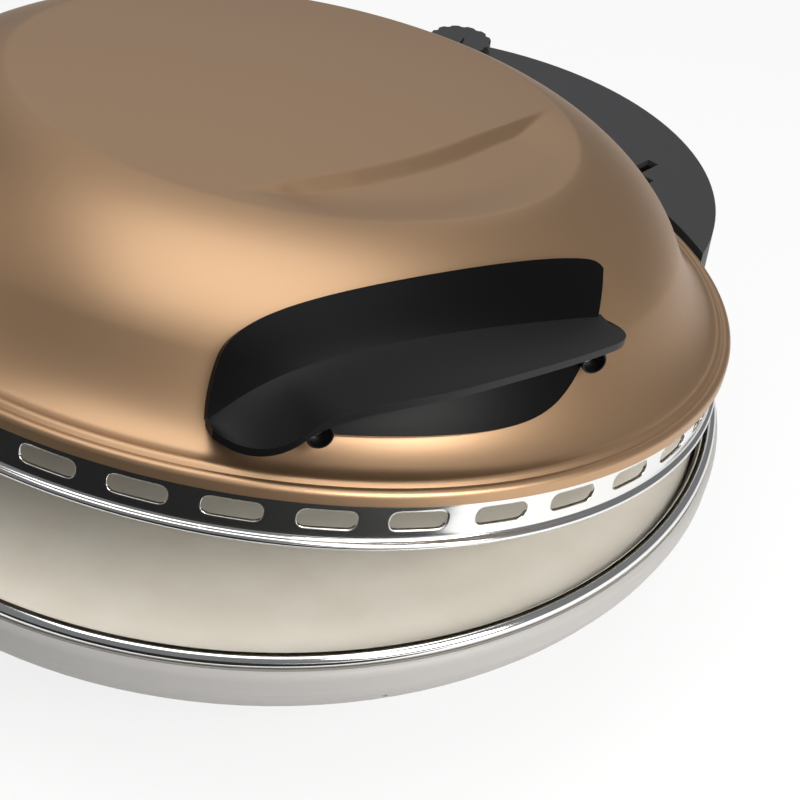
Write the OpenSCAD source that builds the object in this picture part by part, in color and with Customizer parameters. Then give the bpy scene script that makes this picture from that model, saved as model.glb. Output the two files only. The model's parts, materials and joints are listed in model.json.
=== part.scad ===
// Electric pizza maker: a round stone-bottomed cooker with a hinged domed lid.
// Origin: on the table, under the middle of the whole cooker. +Z up, +Y towards the hinge.
// Pieces are drawn about the stone's centre and the lid closed and level; placed()
// then moves all of them to the origin, and lid_pose() swings the lid to its rest.

/* [Stone and rim] */
// Diameter of the baking stone
stone_d = 310; // [290:1:330]
// Thickness of the baking stone
stone_t = 12; // [8:1:16]
// Height of the rim's bead centre above the table
rim_z = 73.3; // [68:0.1:80]
// Gap between the stone and the rim's inner edge
stone_gap = 2; // [1.5:0.1:3]
// Depth of the stone's top face under the rim's crest
stone_sink = 4.1; // [3:0.1:6]
// Diameter of the rim's rolled bead
bead_d = 4.6; // [4:0.1:6]

/* [Bowl] */
// How far the bowl stands out past the rim
bowl_step = 1.6; // [1:0.1:3]
// Depth of the bowl under the rim's bead
bowl_depth = 49.3; // [44:0.1:54]
// Radius of the bowl's flat bottom
bowl_foot_r = 105; // [95:1:112]
// Wall of the bowl
bowl_wall = 1.5; // [1:0.1:2]
// Number of air holes in the bowl's bottom
air_holes = 12; // [8:1:16]

/* [Heat tray] */
// Sheet thickness of the heat tray
tray_t = 1; // [0.8:0.1:1.2]
// Depth of the tray's pan under the stone
tray_depth = 20; // [16:1:22]
// Radius where the ledge under the stone ends
ledge_r = 141; // [136:1:145]

/* [Lid] */
// How far the lid's edge stands out past the rim's inner edge
lid_overhang = 1.9; // [1:0.1:2.6]
// Height of the closed lid's edge above the rim's bead centre
lid_lift = 18.7; // [18.2:0.1:22]
// Height of the dome above its edge
dome_h = 56; // [52:0.5:62]
// Sheet thickness of the dome
dome_wall = 1.2; // [0.8:0.1:1.5]
// Radius of the dome's flat top
dome_top_r = 94; // [86:1:98]
// Resting angle of the lid, ajar
rest_angle = 7.62; // [4:0.01:12]

/* [Vent ring] */
// Height of the vent ring below the lid's edge
ring_h = 15.4; // [14:0.1:17]
// Sheet thickness of the vent ring
ring_t = 1; // [0.8:0.1:1.2]
// Number of vent slots that the ring's round is divided into
slot_count = 38; // [28:1:38]
// Length of a vent slot
slot_len = 17; // [12:0.5:18]
// Height of a vent slot
slot_h = 6; // [4:0.1:7]
// Depth of the slots' middle below the lid's edge
slot_drop = 6.1; // [5.6:0.1:6.6]
// Direction of one slot's middle, as an angle
slot_start = -28.8; // [-33:0.1:-24]

/* [Heaters] */
// Diameter of the heating tubes
tube_d = 6.5; // [5:0.1:8]
// Radius of the outer turn of both heaters
turn_out_r = 108; // [100:1:112]
// Radius of the inner turn of both heaters
turn_in_r = 66; // [56:1:74]
// Angle between the two ends of a heater's outer turn
turn_gap = 16; // [12:1:24]
// Wall of the clips round the tubes
clip_t = 1; // [0.8:0.1:1.4]

/* [Hinge] */
// Distance of the hinge axis behind the lid's edge
hinge_back = 17.1; // [16:0.1:20]
// Height of the hinge axis below the closed lid's edge
hinge_drop = 5.6; // [5:0.1:7]
// Radius of the hollow hinge pins
pin_r = 4; // [3.5:0.1:4.5]
// Wall of the hollow hinge pins
pin_wall = 1.4; // [1:0.1:1.6]
// Distance from the middle to each lid arm
arm_x = 29; // [26:0.5:31]
// Sheet thickness of arms and ears
arm_t = 3; // [2.5:0.1:3.5]
// Running clearance round each pin
pin_gap = 0.06; // [0.03:0.01:0.1]
// Thickness of the friction washers
washer_t = 1; // [0.8:0.1:1.4]

/* [Handle] */
// Direction of the handle's middle, as an angle
handle_az = -28; // [-32:0.5:-24]
// Thickness of the handle's plate
plate_t = 3.4; // [2.5:0.1:4]
// Gap between the handle's plate and the dome
plate_gap = 0.6; // [0.4:0.1:1]
// Thickness of the grip shelf
shelf_t = 3.2; // [2.5:0.1:4]
// Downward pitch of the grip shelf towards its free edge
shelf_pitch = 7; // [4:0.5:10]
// Radius of the screw bosses under the shelf
boss_r = 3.9; // [3.6:0.1:4.5]

/* [Rear housing] */
// Radius of the housing's outer wall
housing_r = 120; // [116:1:126]
// Height of the housing's flat top above the table
housing_top = 98; // [94:0.5:98]
// Height of the housing's lower edge above the table
housing_low = 14; // [10:0.5:18]
// Wall of the housing
housing_wall = 2.5; // [2:0.1:3]
// Half width of the bay that the hinge works in
bay_half = 40; // [39:0.5:43]

/* [Controls] */
// Radius of the thermostat knob
thermo_knob_r = 13; // [11:0.5:14]
// Height of both knobs
knob_h = 14; // [11:0.5:16]
// Radius of the timer knob
timer_knob_r = 12; // [10:0.5:13]
// Radius of both control shafts
shaft_r = 3; // [2.5:0.1:3.5]
// Running clearance round the control shafts
shaft_gap = 0.06; // [0.03:0.01:0.1]
// Radius of the pilot lamp's lens
lamp_r = 4; // [3:0.5:5]

/* [Feet and screws] */
// Radius of the feet
foot_r = 12; // [9:0.5:13]
// Radius of the screws' shanks
screw_r = 1.9; // [1.5:0.1:2.2]
// Radius of the wires' sleeves
wire_r = 1.2; // [0.9:0.1:1.25]

/* [Hidden] */
$fn = 96;

// Clearance between pieces that lie beside each other
near = 0.3;
ball_scale = 1.06;
rim_in_r = stone_d / 2 + stone_gap;
bead_r = bead_d / 2;
bead_c = rim_in_r + bead_r;
rim_out_r = rim_in_r + bead_d;
stone_top = rim_z + bead_r - stone_sink;
stone_low = stone_top - stone_t;
tray_lip_z = rim_z - 1.1;
bowl_r = rim_out_r + bowl_step;
bowl_low = rim_z - bowl_depth;
pan_z = stone_low - tray_depth;
pan_r = bowl_foot_r + 24;
lid_edge_r = rim_in_r + lid_overhang;
lid_z = rim_z + lid_lift;
ring_r = lid_edge_r - dome_wall - 0.7;
ring_flange_z = 2.2;
hinge_y = lid_edge_r + hinge_back;
hinge_z = lid_z - hinge_drop;
ear_x = arm_x + arm_t + washer_t + near;
pin_len = ear_x + arm_t - arm_x + 3;
reflector_z = 28;
upper_tube_z = 13;
lower_tube_z = pan_z + 9;
bay_back = hinge_y + 11;
housing_back = hinge_y + 48;
housing_c = [-28, housing_back - housing_r];
deck_low = housing_top - housing_wall;
base_plate_t = 2.5;
wire_exit_az = 96;
wire_turn_r = bowl_foot_r + 21;
grommet_r_at = lid_edge_r - 12.9;
gland_z = 38;
wire_off = wire_r + 0.05;
heater_drop = 8;
gland_out = 5.4;
origin_back = (housing_c[1] + housing_r + gland_out - bowl_r) / 2;
block_z = housing_low + base_plate_t + near;
nut_h = 2;
bush_r = shaft_r + 1.8;
thermo_az = 112;
timer_az = 130;
lamp_az = 121;
bowl_gap = 3.3;
// Distance from the stone's centre to the housing's outer wall in a direction
function housing_reach(az) = let (along = housing_c * [cos(az), sin(az)])
    along + sqrt(along * along - housing_c * housing_c + housing_r * housing_r);
// Middle of the deck in a direction, between the bowl and the outer wall
function deck_middle(az) = (bowl_r + bowl_gap + housing_reach(az)) / 2 * [cos(az), sin(az)];
thermo_pos = deck_middle(thermo_az);
timer_pos = deck_middle(timer_az);
lamp_pos = deck_middle(lamp_az);
front_feet_at = [[-66, -66], [66, -66]];
rear_feet_at = [[-94, 172], [36, 178]];
housing_screws_at = [for (a = [20, 75, 120, 165])
    housing_c + (housing_r - housing_wall - 3) * [cos(a), sin(a)]];
// Each boss under the shelf: sideways place, height and how far out its end lies
bosses = [[-32.7, 17.7, 150], [55, 28.3, 131]];

// Points of a curve after its start a, up to its end d
function bezier(a, b, c, d, n) = [for (i = [1 : n]) let (t = i / n, u = 1 - t)
    u * u * u * a + 3 * u * u * t * b + 3 * u * t * t * c + t * t * t * d];
function arc(cx, cy, r, a0, a1, n) = [for (i = [0 : n]) let (a = a0 + (a1 - a0) * i / n)
    [cx + r * cos(a), cy + r * sin(a)]];
function unit(v) = v / norm(v);
// Moves an open outline sideways by d, to the left of its running direction
function shifted(p, d) = [for (i = [0 : len(p) - 1])
    let (a = p[max(i - 1, 0)], b = p[min(i + 1, len(p) - 1)], t = unit(b - a))
    p[i] + d * [-t[1], t[0]]];
function backwards(p) = [for (i = [len(p) - 1 : -1 : 0]) p[i]];

// Dome outline from the edge up to the middle, heights counted from the edge
side_low = [lid_edge_r - 24.9, 0.491 * dome_h];
function dome_line() = concat(
    [[lid_edge_r, 0]],
    arc(lid_edge_r - 1.9, 2.6, 1.9, 0, 120, 6),
    arc(lid_edge_r - 5.1, 3.5, 2.1, 45, 110, 4),
    bezier([lid_edge_r - 7.1, 5.8], [lid_edge_r - 14.9, 10], [lid_edge_r - 19.9, 19.5], side_low, 8),
    bezier(side_low, side_low + [-8, 11.5], [dome_top_r + 17, dome_h - 6.5],
        [dome_top_r, dome_h - 2], 12),
    bezier([dome_top_r, dome_h - 2], [dome_top_r - 30, dome_h - 0.6], [30, dome_h], [0, dome_h], 6));

// Bowl outline from the upper lip down to the middle, heights above the table
function bowl_line() = concat(
    arc(bowl_r - 3.4, rim_z - 5.2, 3.4, 60, 0, 5),
    bezier([bowl_r, rim_z - 7.6], [bowl_r, rim_z - 22], [bowl_foot_r + 24, bowl_low + 1],
        [bowl_foot_r, bowl_low], 14),
    [[0, bowl_low]]);

// Moves a piece from the stone's centre to the shared origin
module placed() {
    translate([0, -origin_back, 0]) children();
}

// Height of the bowl's outer face at a radius
bowl_side = [for (p = bowl_line()) if (p[0] > bowl_foot_r - 1) [-p[0], p[1]]];
function bowl_z_at(r) = lookup(-r, bowl_side);
grommet_z = bowl_z_at(grommet_r_at) + 5.4;

module ring_of(points) {
    rotate_extrude() polygon(points);
}

// A sheet between an outline and the same outline moved sideways
module spun_sheet(line, t) {
    ring_of([for (p = concat(line, backwards(shifted(line, t)))) [max(p[0], 0), p[1]]]);
}

module lid_pose() {
    translate([0, hinge_y, hinge_z]) rotate([-rest_angle, 0, 0]) translate([0, -hinge_y, -hinge_z])
        children();
}

// Places things in the closed lid's own heights, counted from the lid's edge
module in_lid() {
    lid_pose() translate([0, 0, lid_z]) children();
}

module rod(a, b, r) {
    v = b - a;
    translate(a) rotate([0, acos(v[2] / norm(v)), atan2(v[1], v[0])]) cylinder(h = norm(v), r = r);
}

// A bent wire or tube: straight rods with a slightly fuller ball at each bend
module bent_rod(points, r) {
    for (i = [0 : len(points) - 2]) rod(points[i], points[i + 1], r);
    for (i = [1 : len(points) - 2]) translate(points[i]) sphere(r = r * ball_scale);
}

module screw(length, head_r = 3.6, head_h = 2) {
    cylinder(h = head_h, r = head_r);
    translate([0, 0, -length]) cylinder(h = length + head_h / 2, r = screw_r);
}

module at_az(az, r, z) {
    rotate([0, 0, az]) translate([r, 0, z]) children();
}

// One heating tube with two turns; its ends stand up or hang down by rise
module heater(z, rise) {
    half = turn_gap / 2;
    tube_r = tube_d / 2;
    for (r = [turn_out_r, turn_in_r]) {
        translate([0, 0, z]) rotate([0, 0, 90 + half])
            rotate_extrude(angle = 360 - turn_gap) translate([r, 0]) circle(r = tube_r);
    }
    at_az(90 - half, 0, z) {
        rod([turn_in_r, 0, 0], [turn_out_r, 0, 0], tube_r);
        for (r = [turn_out_r, turn_in_r]) translate([r, 0, 0]) sphere(r = tube_r * ball_scale);
    }
    at_az(90 + half, 0, z) {
        for (r = [turn_out_r, turn_in_r]) {
            translate([r, 0, 0]) sphere(r = tube_r * ball_scale);
            rod([r, 0, 0], [r, 0, rise], tube_r);
        }
    }
}

// Sleeve round the tube with a post to the sheet that carries it
module heater_clip(r, z, reach) {
    tube_gap = 0.15;
    hole = tube_d / 2 + tube_gap;
    low = min(reach, 0);
    translate([r, 0, z]) difference() {
        union() {
            rotate([90, 0, 0]) cylinder(h = 8, r = hole + clip_t, center = true);
            translate([-clip_t, -4, low]) cube([2 * clip_t, 8, abs(reach)]);
            translate([-7, -4, reach > 0 ? reach - clip_t : low]) cube([14, 8, clip_t]);
        }
        rotate([90, 0, 0]) cylinder(h = 10, r = hole, center = true);
    }
}

module heater_clips(z, reach) {
    for (az = [30, 150, 270]) rotate([0, 0, az]) {
        heater_clip(turn_out_r, z, reach);
        heater_clip(turn_in_r, z, reach);
    }
}

insulator_r = tube_d / 2 + 3;
// Ceramic collar round a heater's end, with a flange on each side of the sheet
module insulators(sheet_z, sheet_t) {
    for (r = [turn_out_r, turn_in_r]) at_az(90 + turn_gap / 2, r, sheet_z) difference() {
        union() {
            translate([0, 0, -sheet_t - 3]) cylinder(h = 3, r = insulator_r + 2);
            translate([0, 0, -sheet_t - 3]) cylinder(h = sheet_t + 10, r = insulator_r);
        }
        translate([0, 0, -20]) cylinder(h = 40, r = tube_d / 2 + 0.1);
    }
}

module insulator_holes(z) {
    for (r = [turn_out_r, turn_in_r]) at_az(90 + turn_gap / 2, r, z)
        cylinder(h = 12, r = insulator_r + 0.2, center = true);
}

// Base

module bowl_cut(out, down) {
    line = [for (p = bowl_line()) [p[0] > 0 ? p[0] + out : 0, p[1] - down]];
    ring_of(concat([[0, housing_top + 5], [bowl_r + out, housing_top + 5]], line));
}

rim_screw_az = [-150, -90, -30, 30, 150];
rim_screw_r = 1.2;
module rim_screw_holes(r) {
    for (az = rim_screw_az) at_az(az, bead_c - 0.2, rim_z - 20) cylinder(h = 20, r = r);
}

module base_bowl() {
    lip = [[rim_in_r + 1.8, tray_lip_z - tray_t], [rim_in_r + 1.8, tray_lip_z - tray_t - bowl_wall]];
    placed() color([0.86, 0.85, 0.83]) difference() {
        union() {
            spun_sheet(bowl_line(), -bowl_wall);
            ring_of(concat(lip, [[bowl_r - 2.4, lip[1][1]], [bowl_r - 1.8, lip[0][1]]]));
        }
        for (i = [0 : air_holes - 1]) at_az(360 / air_holes * i + 15, bowl_foot_r * 0.55, bowl_low - 5)
            cylinder(h = 20, r = 4);
        for (p = front_feet_at) translate([p[0], p[1], 0]) cylinder(h = rim_z, r = screw_r + 0.1);
        at_az(wire_exit_az, 130, grommet_z) rotate([0, 90, 0]) cylinder(h = 40, r = grommet_r);
        rim_screw_holes(rim_screw_r + 0.1);
        hinge_screw_holes(screw_r + 0.1);
    }
}

module base_rim() {
    placed() color([0.8, 0.8, 0.8]) difference() {
        rotate_extrude() difference() {
            translate([bead_c, rim_z]) circle(r = bead_r);
            translate([0, tray_lip_z - 5]) square([bowl_r, 5]);
        }
        rim_screw_holes(rim_screw_r + 0.02);
    }
}

module rim_screws() {
    placed() color([0.7, 0.7, 0.7]) for (az = rim_screw_az)
        at_az(az, bead_c - 0.2, tray_lip_z - tray_t - bowl_wall) rotate([180, 0, 0]) {
            cylinder(h = 1.4, r = 1.8);
            translate([0, 0, -3.4]) cylinder(h = 4, r = rim_screw_r);
        }
}

module baking_stone() {
    placed() color([0.9, 0.88, 0.82]) translate([0, 0, stone_low]) rotate_extrude()
        polygon([[0, 0], [stone_d / 2 - 1.5, 0], [stone_d / 2, 1.5], [stone_d / 2, stone_t - 1.5],
            [stone_d / 2 - 1.5, stone_t], [0, stone_t]]);
}

module heat_tray() {
    wall_r = stone_d / 2 + 1.2;
    line = [[rim_out_r - 0.8, tray_lip_z], [wall_r, tray_lip_z], [wall_r, stone_low], [ledge_r, stone_low],
        [pan_r, pan_z], [0, pan_z]];
    under = [[0, pan_z - tray_t], [pan_r + tray_t, pan_z - tray_t], [ledge_r + tray_t, stone_low - tray_t],
        [wall_r + tray_t, stone_low - tray_t], [wall_r + tray_t, tray_lip_z - tray_t],
        [rim_out_r - 0.8, tray_lip_z - tray_t]];
    placed() color([0.75, 0.75, 0.74]) difference() {
        ring_of(concat(line, under));
        insulator_holes(pan_z);
        rim_screw_holes(rim_screw_r + 0.1);
    }
}

module lower_heater() {
    placed() color([0.35, 0.33, 0.32]) heater(lower_tube_z, pan_z - heater_drop - lower_tube_z);
}

module lower_clips() {
    placed() color([0.7, 0.7, 0.7]) heater_clips(lower_tube_z, pan_z - lower_tube_z);
}

module lower_insulators() {
    placed() color([0.93, 0.92, 0.88]) translate([0, 0, 2 * pan_z - tray_t]) mirror([0, 0, 1])
        insulators(pan_z, tray_t);
}

grommet_r = 5;
fuse_y = 30;
module thermal_fuse() {
    fuse_z = pan_z - tray_t - 3;
    placed() color([0.85, 0.82, 0.7]) translate([0, fuse_y, fuse_z]) {
        rotate([0, 90, 0]) cylinder(h = 26, r = 3, center = true);
        translate([-5, -6, 0]) cube([10, 12, 3]);
    }
}

module wire_grommet() {
    inner = grommet_r - 0.2;
    placed() color([0.12, 0.12, 0.12]) at_az(wire_exit_az, 0, grommet_z) rotate([0, 90, 0]) difference() {
        union() {
            translate([0, 0, grommet_r_at + 1.5]) cylinder(h = 20, r = inner);
            translate([0, 0, grommet_r_at + 21]) cylinder(h = 2, r = inner + 2);
        }
        translate([0, 0, 130]) cylinder(h = 50, r = 2 * wire_r + 0.3);
    }
}

// Two leads from the terminal block, through the grommet, to the heater's ends
module base_wiring() {
    tip_z = pan_z - heater_drop - near;
    start = 90 + turn_gap / 2;
    out = [cos(wire_exit_az), sin(wire_exit_az), 0];
    across = [-sin(wire_exit_az), cos(wire_exit_az), 0];
    up = [0, 0, 1];
    ends = [turn_out_r, turn_in_r];
    block_top = block_z + 19 + near;
    placed() color([0.8, 0.15, 0.1]) for (i = [0, 1]) {
        side_i = 2 * i - 1;
        off = wire_off * side_i;
        tip = [ends[i] * cos(start), ends[i] * sin(start), 0];
        bent_rod([tip + up * tip_z, tip + up * (tip_z - 3),
            out * wire_turn_r - across * 8.5 * side_i + up * (bowl_z_at(wire_turn_r) + 3.9),
            out * grommet_r_at - across * off + up * grommet_z, out * (grommet_r_at + 25) - across * off + up * grommet_z,
            [block_x[i], block_y, grommet_z - 5], [block_x[i], block_y, block_top]], wire_r);
    }
}

// Two leads from the block up to the hollow hinge pin
module hinge_wiring() {
    pin_in = -arm_x - arm_t / 2;
    side = [-bay_half - 9, hinge_y, hinge_z];
    placed() color([0.85, 0.82, 0.75]) for (i = [0, 1]) {
        off = wire_off * (2 * i - 1);
        post = [block_x[2] - 2 + 4 * i, block_y + 3, 0];
        bent_rod([[pin_in, hinge_y, hinge_z + off], side + [off, 0, off], side + [off, 0, -35],
            post + [0, 0, grommet_z + 5], post + [0, 0, block_z + 19 + near]], wire_r);
    }
}

module foot(h) {
    rotate_extrude() polygon([[0, 0], [foot_r - 1.5, 0], [foot_r, 1.5], [foot_r * 0.86, h], [0, h]]);
}

module front_feet() {
    placed() color([0.13, 0.13, 0.13]) for (p = front_feet_at) translate([p[0], p[1], 0]) difference() {
        foot(bowl_low);
        translate([0, 0, 3]) cylinder(h = bowl_low, r = screw_r + 0.1);
        translate([0, 0, -1]) cylinder(h = 4, r = 4);
    }
}

module rear_feet() {
    placed() color([0.13, 0.13, 0.13]) for (p = rear_feet_at) translate([p[0], p[1], 0]) difference() {
        foot(housing_low);
        translate([0, 0, 3]) cylinder(h = housing_low, r = screw_r + 0.1);
        translate([0, 0, -1]) cylinder(h = 4, r = 4);
    }
}

module foot_screws() {
    placed() color([0.7, 0.7, 0.7]) {
        for (p = front_feet_at) translate([p[0], p[1], 3]) mirror([0, 0, 1]) screw(bowl_low + 3, 3.4, 1.8);
        for (p = rear_feet_at) translate([p[0], p[1], 3]) mirror([0, 0, 1])
            screw(housing_low + base_plate_t + 1, 3.4, 1.8);
    }
}

// Hinge

strap_half_az = 13.5;
module hinge_screw_holes(r) {
    for (az = [90 - 8, 90 + 8]) at_az(az, bowl_r - 8, rim_z - 6) rotate([0, 90, 0])
        cylinder(h = 14, r = r);
}

module yz_plate(x, t, points) {
    translate([x, 0, 0]) rotate([90, 0, 90]) linear_extrude(height = t) polygon(points);
}

module hinge_bracket() {
    eye_r = pin_r + 4;
    strap = [[bowl_r, rim_z - 12.4], [bowl_r + 2.6, rim_z - 12.4], [bowl_r + 2.6, rim_z - 1], [bowl_r, rim_z - 1]];
    ear = concat(arc(hinge_y, hinge_z, eye_r, -60, 170, 16),
        [[bowl_r - 8, rim_z + 1], [bowl_r - 8, rim_z - 11.6], [hinge_y - 2, rim_z - 11.6]]);
    placed() color([0.62, 0.62, 0.63]) difference() {
        union() {
            rotate([0, 0, 90 - strap_half_az]) rotate_extrude(angle = 2 * strap_half_az) polygon(strap);
            difference() {
                union() {
                    yz_plate(ear_x, arm_t, ear);
                    yz_plate(-ear_x - arm_t, arm_t, ear);
                }
                cylinder(h = 2 * rim_z, r = bowl_r + 0.6);
            }
        }
        translate([-60, hinge_y, hinge_z]) rotate([0, 90, 0]) cylinder(h = 120, r = pin_r);
        hinge_screw_holes(screw_r + 0.1);
    }
}

// Hollow pins; the left one lets the lid's leads pass
module hinge_pins() {
    placed() color([0.75, 0.75, 0.76]) for (s = [0, 1]) mirror([s, 0, 0])
        translate([arm_x - 1.5, hinge_y, hinge_z]) rotate([0, 90, 0]) difference() {
            cylinder(h = pin_len, r = pin_r);
            translate([0, 0, -1]) cylinder(h = pin_len + 2, r = pin_r - pin_wall);
        }
}

module friction_washers() {
    placed() color([0.35, 0.3, 0.25]) for (s = [0, 1]) mirror([s, 0, 0])
        translate([arm_x + arm_t + near, hinge_y, hinge_z]) rotate([0, 90, 0]) difference() {
            cylinder(h = washer_t, r = pin_r + 3);
            translate([0, 0, -1]) cylinder(h = 4, r = pin_r + 0.02);
        }
}

module hinge_screws() {
    placed() color([0.7, 0.7, 0.7]) for (az = [90 - 8, 90 + 8])
        at_az(az, bowl_r + 2.6, rim_z - 6) rotate([0, 90, 0]) screw(7, 3.2, 1.6);
}

// Rear housing

module crescent(inset, keep_r) {
    difference() {
        translate(housing_c) circle(r = housing_r - inset, $fn = 192);
        circle(r = keep_r + inset, $fn = 192);
    }
}

housing_in_r = bowl_r - 35;
// Bay under the deck that the hinge works in
module bay_box(grow) {
    translate([-bay_half - grow, 0, rim_z - 15 - grow])
        cube([2 * (bay_half + grow), bay_back + grow, deck_low - rim_z + 15 + grow]);
}

// Where the deck stays open above the hinge: a shallow notch and a slit for each lid arm
module deck_notch() {
    notch_back = hinge_y - 3;
    slit_back = hinge_y + pin_r + 5.5;
    slit_gap = 1;
    lead_half = wire_off + wire_r + slit_gap;
    translate([-bay_half, 0, deck_low - 1]) cube([2 * bay_half, notch_back, housing_wall + 2]);
    for (s = [0, 1]) mirror([s, 0, 0]) translate([arm_x - slit_gap, 0, deck_low - 1])
        cube([arm_t + 2 * slit_gap, slit_back, housing_wall + 2]);
    translate([-lead_half, 0, deck_low - 1]) cube([2 * lead_half, slit_back, housing_wall + 2]);
}

module rear_housing() {
    foot_z = housing_low;
    placed() color([0.26, 0.26, 0.265]) difference() {
        translate([0, 0, foot_z]) linear_extrude(height = housing_top - foot_z) crescent(0, housing_in_r);
        difference() {
            translate([0, 0, foot_z - 1]) linear_extrude(height = deck_low - foot_z + 1)
                crescent(housing_wall, housing_in_r);
            bowl_cut(bowl_gap + housing_wall, 1.5 + housing_wall);
            bay_box(housing_wall);
            for (p = housing_screws_at) translate([p[0], p[1], foot_z]) cylinder(h = 22, r = 4);
        }
        bowl_cut(bowl_gap, 1.5);
        bay_box(0);
        deck_notch();
        for (p = housing_screws_at) translate([p[0], p[1], foot_z - 1]) cylinder(h = 16, r = screw_r);
        for (p = [thermo_pos, timer_pos]) translate([p[0], p[1], deck_low - 1])
            cylinder(h = 9, r = bush_r + 0.2);
        translate([lamp_pos[0], lamp_pos[1], deck_low - 1]) cylinder(h = 9, r = lamp_r + 0.1);
        translate([housing_c[0], housing_c[1], gland_z]) rotate([-90, 0, 0])
            cylinder(h = housing_r + 5, r = 7.1);
        at_az(wire_exit_az, 130, grommet_z) rotate([0, 90, 0]) cylinder(h = 40, r = grommet_r);
        translate([-bay_half - 8, hinge_y, hinge_z]) rotate([0, 90, 0]) cylinder(h = 12, r = pin_r + 0.4);
    }
}

module housing_base() {
    placed() color([0.2, 0.2, 0.2]) difference() {
        translate([0, 0, housing_low]) linear_extrude(height = base_plate_t)
            crescent(housing_wall + near, housing_in_r);
        for (p = concat(rear_feet_at, housing_screws_at)) translate([p[0], p[1], 0])
            cylinder(h = 30, r = screw_r + 0.1);
        for (i = [0 : 5]) translate([-76 + 11 * i, 126, 0]) cube([5, 26, 60]);
        for (p = housing_screws_at) translate([p[0], p[1], housing_low - 1]) cylinder(h = 30, r = 4.3);
    }
}

module housing_screws() {
    placed() color([0.7, 0.7, 0.7]) for (p = housing_screws_at)
        translate([p[0], p[1], housing_low]) mirror([0, 0, 1]) {
            cylinder(h = 1.2, r = 5.6);
            translate([0, 0, -12]) cylinder(h = 12.5, r = screw_r - 0.05);
        }
}

block_x = [2, 15, 28];
block_y = 190;
module terminal_block() {
    placed() color([0.9, 0.88, 0.83]) translate([0, block_y, block_z]) difference() {
        translate([block_x[0] - 7, -9, 0]) cube([block_x[2] - block_x[0] + 14, 18, 19]);
        for (x = block_x) translate([x, 0, 6]) rotate([90, 0, 0]) cylinder(h = 30, r = 2, center = true);
    }
}

module cord_gland() {
    wall_y = housing_c[1] + housing_r;
    placed() color([0.1, 0.1, 0.1]) translate([housing_c[0], wall_y, gland_z]) rotate([-90, 0, 0]) difference() {
        union() {
            translate([0, 0, 0.4]) cylinder(h = gland_out - 0.4, r = 10);
            translate([0, 0, -12]) cylinder(h = 14, r = 7);
        }
        translate([0, 0, -20]) cylinder(h = 40, r = 3.4);
    }
}

// Controls

module shaft_bush(h) {
    translate([0, 0, -0.01]) cylinder(h = h, r = bush_r);
}

module shaft_bore(depth) {
    translate([0, 0, -depth]) cylinder(h = depth + 30, r = shaft_r + shaft_gap);
}

module thermostat() {
    bush_h = housing_wall + nut_h + near;
    placed() color([0.82, 0.8, 0.74]) translate([thermo_pos[0], thermo_pos[1], deck_low - near])
        rotate([0, 0, thermo_az]) difference() {
            union() {
                translate([-14, -17, -20]) cube([30, 34, 20]);
                shaft_bush(bush_h);
                for (y = [-10, 10]) translate([-3, y - 0.4, -28]) cube([6.3, 0.8, 9]);
            }
            shaft_bore(12);
        }
}

module control_shaft() {
    depth = 11.5;
    translate([0, 0, deck_low - near - depth])
        cylinder(h = depth + housing_wall + nut_h + knob_h - 4.2, r = shaft_r);
}

module thermostat_shaft() {
    placed() color([0.75, 0.75, 0.75]) translate([thermo_pos[0], thermo_pos[1], 0]) control_shaft();
}

knob_low = housing_top + 0.8;
module knob(r) {
    grips = 12;
    difference() {
        union() {
            translate([0, 0, knob_low]) cylinder(h = 2, r = r + 1.6);
            translate([0, 0, knob_low]) cylinder(h = knob_h, r = r);
            translate([-1.5, 0, knob_low + knob_h - 1]) cube([3, r - 1, 2]);
        }
        for (i = [0 : grips - 1]) rotate([0, 0, 360 / grips * (i + 0.5)])
            translate([r + 1.2, 0, knob_low + 3]) cylinder(h = knob_h, r = 2.2);
        translate([0, 0, knob_low - 1]) cylinder(h = 1 + nut_h + near + 0.6, r = bush_r + 3);
        translate([0, 0, knob_low]) cylinder(h = knob_h - 3, r = shaft_r + 0.02);
    }
}

module thermostat_knob() {
    placed() color([0.08, 0.08, 0.085]) translate([thermo_pos[0], thermo_pos[1], 0])
        rotate([0, 0, thermo_az + 90]) knob(thermo_knob_r);
}

module timer() {
    bush_h = housing_wall + nut_h + near;
    placed() color([0.78, 0.75, 0.66]) translate([timer_pos[0], timer_pos[1], deck_low - near])
        rotate([0, 0, timer_az]) difference() {
            union() {
                translate([-13, -14, -22]) cube([23, 28, 22]);
                shaft_bush(bush_h);
                translate([-2, 2, -31]) cylinder(h = 10, r = 1.5);
            }
            shaft_bore(14);
        }
}

module timer_bell() {
    placed() color([0.7, 0.6, 0.3]) translate([timer_pos[0], timer_pos[1], deck_low - near - 22 - 9])
        rotate([0, 0, timer_az]) translate([-2, 2, 0]) difference() {
            cylinder(h = 8.7, r = 10);
            translate([0, 0, -1]) cylinder(h = 8.5, r = 9);
            cylinder(h = 20, r = 1.55);
        }
}

module timer_shaft() {
    placed() color([0.75, 0.75, 0.75]) translate([timer_pos[0], timer_pos[1], 0]) control_shaft();
}

module timer_knob() {
    placed() color([0.08, 0.08, 0.085]) translate([timer_pos[0], timer_pos[1], 0])
        rotate([0, 0, timer_az + 90]) knob(timer_knob_r);
}

module control_nuts() {
    placed() color([0.7, 0.7, 0.7]) for (p = [thermo_pos, timer_pos]) translate([p[0], p[1], housing_top])
        difference() {
            cylinder(h = nut_h, r = bush_r + 2.4, $fn = 6);
            translate([0, 0, -1]) cylinder(h = 6, r = bush_r + 0.05);
        }
}

module pilot_lens() {
    placed() color([0.9, 0.3, 0.1]) translate([lamp_pos[0], lamp_pos[1], deck_low]) {
        cylinder(h = housing_wall + 0.8, r = lamp_r);
        translate([0, 0, housing_wall + 0.1]) cylinder(h = 1.4, r = lamp_r + 1);
    }
}

module pilot_lamp_holder() {
    placed() color([0.9, 0.9, 0.88]) translate([lamp_pos[0], lamp_pos[1], deck_low - near - 14])
        rotate([0, 0, thermo_az]) cylinder(h = 14, r = lamp_r + 1);
}

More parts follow.
